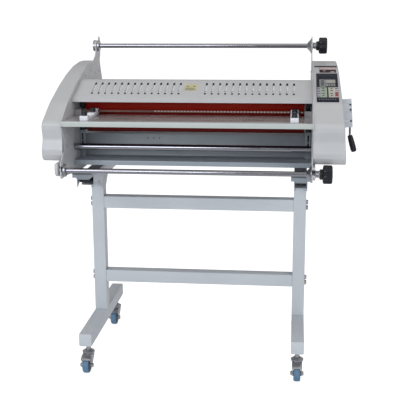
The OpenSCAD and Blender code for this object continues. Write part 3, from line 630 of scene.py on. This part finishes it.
def star_knob(node, c, x):
    bm = bmesh.new()

    def lobes(a, d):
        k = 0.5 + 0.5 * math.cos(7 * a)
        return 1.0 - (0.16 * (1 - k ** 0.55) if d > 7.9 else 0.0)
    lathe(bm, [(0, 7.7), (0, 13.6), (0.8, 14.8), (1.8, 15), (7.6, 15), (8.2, 19.5), (8.8, 23.8), (10.0, 26.2), (12.2, 27.2),
               (31.6, 27.2), (33.8, 26.2), (35.2, 24.0), (35.9, 20.5), (35.5, 17), (34.9, 15.5), (34.9, 0)],
          P(x, c[0], c[1]), X, 112, 0, lobes)
    to_mesh(bm, node + "_moulded", [MATS["black_plastic"]], body_of[node], [node], 40)


star_knob("upper_tension_knob", (175, 384.5), 375)
star_knob("lower_tension_knob", (-322, 49), 383)

# ---------------------------------------------------------------- pressure lever

bm = bmesh.new()
hx = 484.5
lean = math.radians(16)
lathe(bm, [(-4.5, 0), (-4.5, 11.6), (-3.7, 12.5), (2.6, 12.5), (3.5, 11.5), (3.5, 0)], P(hx, 20, 182), X, 56, 0)
path = [P(hx, 20, 182), P(hx, 20, 150), P(hx, 20, 120)]
for k in range(1, 7):
    a = lean * k / 6
    path.append(P(hx + 14 * (1 - math.cos(a)), 20, 116 - 14 * math.sin(a)))
e = path[-1]
dirn = Vector((math.sin(lean), 0, -math.cos(lean)))
path.append(e + dirn * 0.020)
tube(bm, path, 3.5, 20, 0)
to_mesh(bm, "pressure_lever_bent", [MATS["chrome_bar"]], "pressure_control", ["pressure_lever"], 35)
bm = bmesh.new()
top = P(hx, 20, 112)
lathe(bm, [(0.6, 3.6), (0.6, 5.6), (1.2, 6.6), (2.6, 7.6), (5.5, 8.2), (12, 8.8), (22, 9.3), (36, 9.5), (46, 9.45), (51, 9.0),
           (53.6, 8.0), (55.2, 6.2), (55.9, 3.4), (56, 0)], top, dirn, 48, 0)
to_mesh(bm, "lever_grip_moulded", [MATS["black_plastic"]], "pressure_control", ["lever_grip"], 40)

# ---------------------------------------------------------------- feeding

bm = bmesh.new()
rl, rh = Vector((-360, -172, 203)), Vector((360, -166, 209))
block(bm, (rl.x + 22, rl.y, rl.z), (rh.x - 22, rh.y, rh.z), 0)
bevel_edges(bm, 0.5, 2)
# blocks that carry the rail at both ends
for s in (-1, 1):
    part = bmesh.new()
    block(part, (s * 359.9, -178, 194.0), (s * 338, -161, 206.6), 0)
    block(part, (s * 359.9, -176.5, 206.6), (s * 338, -162.5, 210), 0)
    bevel_edges(part, 0.8, 2)
    for f in part.faces:
        f.material_index = 3
    tmp = bpy.data.meshes.new("tmp")
    part.to_mesh(tmp)
    part.free()
    bm.from_mesh(tmp)
    bpy.data.meshes.remove(tmp)
# thin white patch on the top of the right end block: painted highlight
block(bm, (341, -176, 209.9), (357, -163, 210.0), 4)
# pale marks along the right two thirds, on the front face and on the top
for k in range(-11, 34):
    x = k * 10.0
    block(bm, (x - 2.7, rl.y - 0.08, rl.z + 1.6), (x + 2.7, rl.y + 0.3, rl.z + 5.4), 1)
    block(bm, (x - 0.5, rl.y + 0.9, rh.z - 0.2), (x + 0.5, rl.y + 0.9 + (3.4 if k % 5 == 0 else 2.0), rh.z), 1)
to_mesh(bm, "scale_rail_marked", [MATS["scale_metal"], EXTRA["rail_marks"], MATS["black_plastic"], EXTRA["rail_plate"],
                                  EXTRA["panel_white"]], "frame", ["scale_rail"], 35)

for side, s in (("left", -1), ("right", 1)):
    soft(side + "_guide", 0.9, 3, 30, 2.0)
    for node, y, z0 in ((side + "_guide_knob", -194, 205.6), (side + "_front_knob", -302, 208.0)):
        bm = bmesh.new()
        c = P(-298 if s < 0 else 309, y, z0)

        def knurl(a, d):
            return 1.0 - (0.06 * (0.5 + 0.5 * math.cos(14 * a)) if 1.2 < d < 7.8 else 0)
        lathe(bm, [(-5.9, 0), (-5.9, 2.9), (0.4, 3.0), (0.4, 7.9), (1.0, 8.7), (7.6, 8.7), (8.4, 7.9), (8.6, 7.0),
                   (12.6, 6.8), (13.4, 5.8), (13.4, 0)], c, Z, 64, 0, knurl)
        to_mesh(bm, node + "_moulded", [MATS["black_plastic"]], body_of[node], [node], 40)

# ---------------------------------------------------------------- top cover's label and screws

slope = math.atan(45.5 / 115)
COVER = (Matrix.Translation(P(0, -200, 245.5)) @ Matrix.Rotation(slope, 4, "X") @ Matrix.Scale(MM, 4))
bm = bmesh.new()
block(bm, (-27, 55, 0.02), (14.5, 101, 0.35), 0, COVER)
bevel_edges(bm, 0.1, 1)
# two plain warning triangles and rows of rule lines, with no words
for dx, dy, k in ((-16.5, 84, 1), (4.5, 84, 1)):
    tri = [bm.verts.new(COVER @ Vector((dx + 8 * math.sin(t), dy + 8 * math.cos(t), 0.42))) for t in (0, 2.094, 4.189)]
    bm.faces.new(tri).material_index = 2
    tri = [bm.verts.new(COVER @ Vector((dx + 4.2 * math.sin(t), dy - 0.2 + 4.2 * math.cos(t), 0.5))) for t in (0, 2.094, 4.189)]
    bm.faces.new(tri).material_index = 1
for r in range(4):
    block(bm, (-23, 60 + r * 4.2, 0.30), (10 - 5 * (r % 2), 61.6 + r * 4.2, 0.42), 1, COVER)
to_mesh(bm, "cover_label", [EXTRA["label_cream"], EXTRA["label_ink"], EXTRA["label_yellow"]], "lifting_cover", [], 35)

# ---------------------------------------------------------------- control panel

deck = math.atan(73 / 195)
DECK = (Matrix.Translation(P(0, -245, 240.5)) @ Matrix.Rotation(deck, 4, "X") @ Matrix.Scale(MM, 4))
bm = bmesh.new()
bm.from_mesh(NODES["control_panel"].data)
bmesh.ops.remove_doubles(bm, verts=bm.verts, dist=1e-6)
bmesh.ops.dissolve_limit(bm, angle_limit=math.radians(0.3), verts=bm.verts, edges=bm.edges)
bevel_edges(bm, 0.4, 2, 30, 2.0)
T = 2.5


def patch(x0, x1, s0, s1, mat, h=0.25, z=T):
    block(bm, (x0, s0, z - 0.05), (x1, s1, z + h), mat, DECK)


pm = [MATS["panel_overlay"], EXTRA["panel_white"], EXTRA["panel_grey"], EXTRA["panel_green"], EXTRA["panel_beige"],
      EXTRA["display_glass"], EXTRA["display_face"], EXTRA["segment_off"], EXTRA["label_red"], EXTRA["dark_line"],
      EXTRA["panel_lilac"], EXTRA["black_mark"], EXTRA["key_field_pink"], EXTRA["panel_dim"]]
# display: dark digits in a pale outline on the left, a pale field over a dark readout on the right
patch(381, 429, 108, 157, 5, 0.3, 1.9)
patch(382, 398, 110, 156, 1, 0.42, 1.9)
patch(383.2, 396.8, 112, 154, 7, 0.5, 1.9)
patch(399.5, 428.3, 133, 156, 6, 0.5, 1.9)
patch(399.5, 428.3, 109.5, 131, 7, 0.45, 1.9)


def digit(x, y, w, h, z, mat, segs="abcdefg"):
    t = 1.1
    g = {"a": (x, x + w, y + h - t, y + h), "d": (x, x + w, y, y + t), "g": (x, x + w, y + h / 2 - t / 2, y + h / 2 + t / 2),
         "f": (x, x + t, y + h / 2, y + h), "b": (x + w - t, x + w, y + h / 2, y + h),
         "e": (x, x + t, y, y + h / 2), "c": (x + w - t, x + w, y, y + h / 2)}
    for k in segs:
        a0, a1, s0, s1 = g[k]
        block(bm, (a0, s0, z - 0.05), (a1, s1, z + 0.18), mat, DECK)


for x in (384.4, 391.0):
    digit(x, 135, 4.8, 15, 2.35, 2, "abcdef")
    digit(x, 115, 4.8, 13, 2.35, 2, "abcdeg")
for i in range(4):
    digit(401.2 + i * 6.7, 113, 4.4, 14, 2.3, 4, ("abcdef", "abged", "abgcd", "fgbc")[i])
    block(bm, (401.4 + i * 6.7, 138, 2.35), (405.4 + i * 6.7, 140.4, 2.6), 2, DECK)
    block(bm, (401.4 + i * 6.7, 148, 2.35), (405.4 + i * 6.7, 150.4, 2.6), 2, DECK)
# printed fields round the keys: lilac column, green, black bar, pale, and the stop key's field
patch(374.0, 383.0, 37.7, 103.3, 10, 0.12)
patch(383.0, 402.0, 37.7, 103.3, 3, 0.12)
patch(402.0, 406.6, 37.7, 106.0, 11, 0.14)
patch(406.6, 424.2, 37.7, 103.3, 4, 0.12)
patch(424.2, 434.8, 76.0, 103.3, 4, 0.12)
patch(424.2, 434.8, 37.7, 76.0, 12, 0.12)
for k in range(4):
    s = 42 + k * 16.2
    patch(375.2, 381.8, s, s + 4.6, 9 if k < 2 else 11, 0.2)
patch(426.0, 433.4, 92.0, 97.5, 11, 0.2)
patch(426.0, 433.4, 80.0, 83.0, 9, 0.2)
for k in range(8):
    patch(377.5 + k * 6.6, 381.5 + k * 6.6, 23.5, 27, 2, 0.15)
for k in range(9):
    patch(378 + k * 6.1, 382 + k * 6.1, 185, 187, 13, 0.15)
patch(378, 431, 166, 167.0, 13, 0.15)
to_mesh(bm, "control_panel_printed", pm, "frame", ["control_panel"], 30)

# two-part plate without words and a row of plain marks above the panel
bm = bmesh.new()
B2 = (Matrix.Translation(P(0, -50, 313.5)) @ Matrix.Rotation(math.atan(15.5 / 74), 4, "X") @ Matrix.Scale(MM, 4))
block(bm, (382.5, 3, -0.6), (433, 60, 0.55), 0, B2)
bevel_edges(bm, 0.25, 1)
block(bm, (383, 35, 0.45), (432.5, 59.5, 0.70), 1, B2)
block(bm, (393, 18, 0.45), (401, 24, 0.68), 1, B2)
block(bm, (416, 4, 0.45), (428, 14, 0.68), 1, B2)
to_mesh(bm, "badge_plate", [EXTRA["badge_dark"], EXTRA["badge_pink"], EXTRA["panel_grey"]], "frame", [], 30)
bm = bmesh.new()
for k in range(9):
    block(bm, (367.5 + k * 7.8, 62.5, -0.5), (374.9 + k * 7.8, 75.5, 0.9), 0, B2)
to_mesh(bm, "badge_strip", [EXTRA["black_mark"]], "frame", [], 30)

for n in ("green_up_key", "green_down_key", "beige_up_key", "beige_down_key", "red_key"):
    bm = bmesh.new()
    bm.from_mesh(NODES[n].data)
    bmesh.ops.remove_doubles(bm, verts=bm.verts, dist=1e-6)
    bmesh.ops.dissolve_limit(bm, angle_limit=math.radians(0.3), verts=bm.verts, edges=bm.edges)
    bevel_edges(bm, 0.8, 3, 30)
    b0, b1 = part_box(n)
    c = (b0 + b1) / 2
    inv = DECK.inverted()
    lc = inv @ c
    up = "up" in n or n == "red_key"
    if n != "red_key":
        tri = [(0, 11.5), (-4.2, 4.4), (4.2, 4.4)] if up else [(0, -11.5), (4.2, -4.4), (-4.2, -4.4)]
        vs = [bm.verts.new(DECK @ Vector((lc.x + a, lc.y + b, 3.74))) for a, b in tri]
        bm.faces.new(vs).material_index = 1
        w = -1 if up else 1
        block(bm, (lc.x - 3.9, lc.y + w * 5.0, 3.6), (lc.x + 3.9, lc.y + w * 9.8, 3.76), 1, DECK)
    to_mesh(bm, n + "_moulded", [MATS[slot_of[n]], EXTRA["black_mark"]], body_of[n], [n], 35)

# ---------------------------------------------------------------- screws


def screw(bm, at, axis, r=3.4, h=1.8, mat=0):
    """Pan-head screw; its cross recess is two dark bars laid on the head, painted shade."""
    axis = axis.normalized()
    lathe(bm, [(0, r), (h * 0.35, r * 0.98), (h * 0.75, r * 0.8), (h, r * 0.45), (h, 0)], at, axis, 24, mat)
    ref = Z if abs(axis.z) < 0.9 else Y
    e1 = (ref - axis * ref.dot(axis)).normalized()
    e2 = axis.cross(e1)
    for u, v in ((e1, e2), (e2, e1)):
        vs = [bm.verts.new(at + axis * (h + 0.03) * MM + u * a * r * MM + v * b * r * MM)
              for a, b in ((-0.55, -0.10), (0.55, -0.10), (0.55, 0.10), (-0.55, 0.10))]
        bm.faces.new(vs).material_index = 1


bm = bmesh.new()
for s in (-1, 1):
    for y, z in ((-100, 275), (-20, 300), (60, 310), (-300, 60), (-240, 40), (180, 300), (120, 300)):
        screw(bm, P(s * 360.0, y, z), -X * s, 3.2)
    for y, z in ((-270, 110), (-270, 150), (120, 250)):
        screw(bm, P(s * 360.0, y, z), -X * s, 3.2)
for x in (-300, -100, 100, 300):
    for z in (28, 168):
        screw(bm, P(x, 255.0, z), Y, 3.4)
    screw(bm, P(x, 255.0, 211.5), Y, 3.0)
to_mesh(bm, "panel_screws", [EXTRA["screw_zinc"], EXTRA["dark_line"]], "frame", [], 30)

# black strips behind the slots of the pan's uprights, painted shade seen through the slots; rivets in its back face and
# one in its shelf
bm = bmesh.new()
for s in (-1, 1):
    block(bm, (s * 348.6, -113.8, 82), (s * 356.5, -113.0, 131), 0)
to_mesh(bm, "pan_slot_painted_shade", [EXTRA["painted_shade_black"]], "frame", [], 30)
bm = bmesh.new()
for x in (-147, -129, -111):
    lathe(bm, [(-0.05, 2.3), (0.5, 2.2), (0.9, 1.2), (0.9, 0)], P(x, -95, 113), -Y, 20, 0)
lathe(bm, [(-0.05, 2.6), (0.6, 2.4), (1.0, 1.2), (1.0, 0)], P(-292, -150, 57.5), Z, 20, 0)
to_mesh(bm, "pan_rivets", [EXTRA["dark_line"]], "frame", [], 30)

# white strip in the quadrant's slot, painted light standing for the bright backdrop seen through it, and black discs at
# the bottoms of the quadrant's detent holes, painted shade
qx = right_w + (336 - 182) * FLARE
QUAD = (Matrix.Translation(P(qx, 20, 182)) @ Matrix.Rotation(-math.atan(FLARE), 4, "Y") @ Matrix.Scale(MM, 4))
bm = bmesh.new()
qr = 120.0
for a in (18.5, 11, -5.3):
    t = math.radians(-a)
    lathe(bm, [(0, 3.0), (0.6, 3.0), (0.6, 0)], QUAD @ Vector((28.2, (-qr + 2.75) * math.cos(t), (-qr + 2.75) * math.sin(t))),
          (QUAD.to_3x3() @ Vector((0, -math.cos(t), -math.sin(t)))).normalized(), 24, 0)
block(bm, (24.0, -120.5, -1.4), (32.9, -117.2, 1.4), 1, QUAD @ Matrix.Rotation(math.radians(-7.9), 4, "X"))
to_mesh(bm, "quadrant_painted_light_and_shade", [EXTRA["painted_shade_black"], EXTRA["panel_white"]], "frame", [], 30)

# ---------------------------------------------------------------- stage

fm, fnt, fb = new_mat("floor_paper")
fb.inputs["Base Color"].default_value = (0.80, 0.80, 0.80, 1)
fnt.links.new(ramp(fnt, noise(fnt, coords(fnt), 3.0), [(0.3, (0.79, 0.79, 0.79)), (0.7, (0.81, 0.81, 0.81))]), fb.inputs["Base Color"])
fb.inputs["Roughness"].default_value = 0.9
fb.inputs["Emission Color"].default_value = (1, 1, 1, 1)
fb.inputs["Emission Strength"].default_value = 0.70
bm = bmesh.new()
bmesh.ops.create_grid(bm, x_segments=2, y_segments=2, size=90.0)
me = bpy.data.meshes.new("floor")
bm.to_mesh(me)
bm.free()
floor = bpy.data.objects.new("floor", me)
bpy.context.scene.collection.objects.link(floor)
me.materials.append(fm)
floor.visible_diffuse = False
floor.visible_glossy = False
# the same floor as the machine's surfaces see it, a little dimmer than it looks
lm, lnt, lb = new_mat("floor_bounce")
lnt.links.new(ramp(lnt, noise(lnt, coords(lnt), 3.0), [(0.3, (0.70, 0.71, 0.73)), (0.7, (0.74, 0.75, 0.77))]), lb.inputs["Base Color"])
lb.inputs["Roughness"].default_value = 0.9
lb.inputs["Emission Color"].default_value = (0.95, 0.98, 1, 1)
lb.inputs["Emission Strength"].default_value = 0.30
me = floor.data.copy()
me.materials.clear()
me.materials.append(lm)
lower = bpy.data.objects.new("floor_bounce", me)
bpy.context.scene.collection.objects.link(lower)
lower.location.z = -0.002
lower.visible_camera = False
lower.visible_shadow = False

# dark cloth on the studio floor in front of the machine, seen only in bright metal
cm, cnt, cb = new_mat("studio_cloth")
cnt.links.new(ramp(cnt, noise(cnt, coords(cnt), 4.0), [(0.3, (0.030, 0.027, 0.030)), (0.7, (0.045, 0.040, 0.045))]), cb.inputs["Base Color"])
cb.inputs["Roughness"].default_value = 0.95
bm = bmesh.new()
bm.faces.new([bm.verts.new(v) for v in ((-6, -9, 0.004), (6, -9, 0.004), (6, -2.62, 0.004), (-6, -2.62, 0.004))])
me = bpy.data.meshes.new("cloth")
bm.to_mesh(me)
bm.free()
cloth = bpy.data.objects.new("cloth", me)
bpy.context.scene.collection.objects.link(cloth)
me.materials.append(cm)
cloth.visible_camera = False
cloth.visible_diffuse = False
cloth.visible_shadow = False

world = bpy.data.worlds.new("studio")
world.use_nodes = True
wnt = world.node_tree
bg = wnt.nodes["Background"]
tc = wnt.nodes.new("ShaderNodeTexCoord")
sep = wnt.nodes.new("ShaderNodeSeparateXYZ")
wnt.links.new(tc.outputs["Generated"], sep.inputs["Vector"])
sky = ramp(wnt, map_range(wnt, sep.outputs["Z"], 0, 1, -1.0, 1.0),
           [(0.0, (0.9, 0.9, 0.9)), (0.50, (1.0, 1.0, 1.0)), (0.511, (1.0, 1.0, 1.0)), (0.54, (0.16, 0.16, 0.175)), (0.66, (0.36, 0.36, 0.37)), (1.0, (0.52, 0.51, 0.50))])
wnt.links.new(sky, bg.inputs["Color"])
bg.inputs["Strength"].default_value = 1.15
bpy.context.scene.world = world


def area(name, loc, look, size, power, color=(1, 1, 1)):
    d = bpy.data.lights.new(name, "AREA")
    d.shape = "RECTANGLE"
    d.size, d.size_y = size
    d.energy = power
    d.color = color
    o = bpy.data.objects.new(name, d)
    bpy.context.scene.collection.objects.link(o)
    o.location = loc
    o.rotation_euler = (Vector(look) - Vector(loc)).to_track_quat("-Z", "Y").to_euler()
    return o


area("key", (-1.5, -3.6, 2.0), (0, 0, 0.6), (2.6, 1.8), 70, (0.90, 0.96, 1.0))
area("fill", (2.6, -3.0, 1.5), (0, 0, 0.6), (2.0, 1.8), 30, (0.91, 0.965, 1.0))
area("top", (0, -0.6, 3.6), (0, 0, 0.7), (3.0, 2.0), 11, (1.0, 0.95, 0.88))

cam = bpy.data.cameras.new("camera")
cam.sensor_width = 36.0
cam.lens = 873.91 * 36.0 / 400.0
cam.clip_end = 300
co = bpy.data.objects.new("camera", cam)
bpy.context.scene.collection.objects.link(co)
yaw, pitch, roll = math.radians(6.27), math.radians(12.81), math.radians(-0.28)
f = Vector((-math.sin(yaw) * math.cos(pitch), math.cos(yaw) * math.cos(pitch), -math.sin(pitch)))
r = Vector((math.cos(yaw), math.sin(yaw), 0))
u = r.cross(f)
r2 = r * math.cos(roll) + u * math.sin(roll)
u2 = -r * math.sin(roll) + u * math.cos(roll)
co.matrix_world = Matrix(((r2.x, u2.x, -f.x, 0.31075 + SX), (r2.y, u2.y, -f.y, -2.7780 + SY),
                          (r2.z, u2.z, -f.z, 1.1479), (0, 0, 0, 1)))
bpy.context.scene.camera = co
bpy.context.scene.view_settings.view_transform = "Standard"
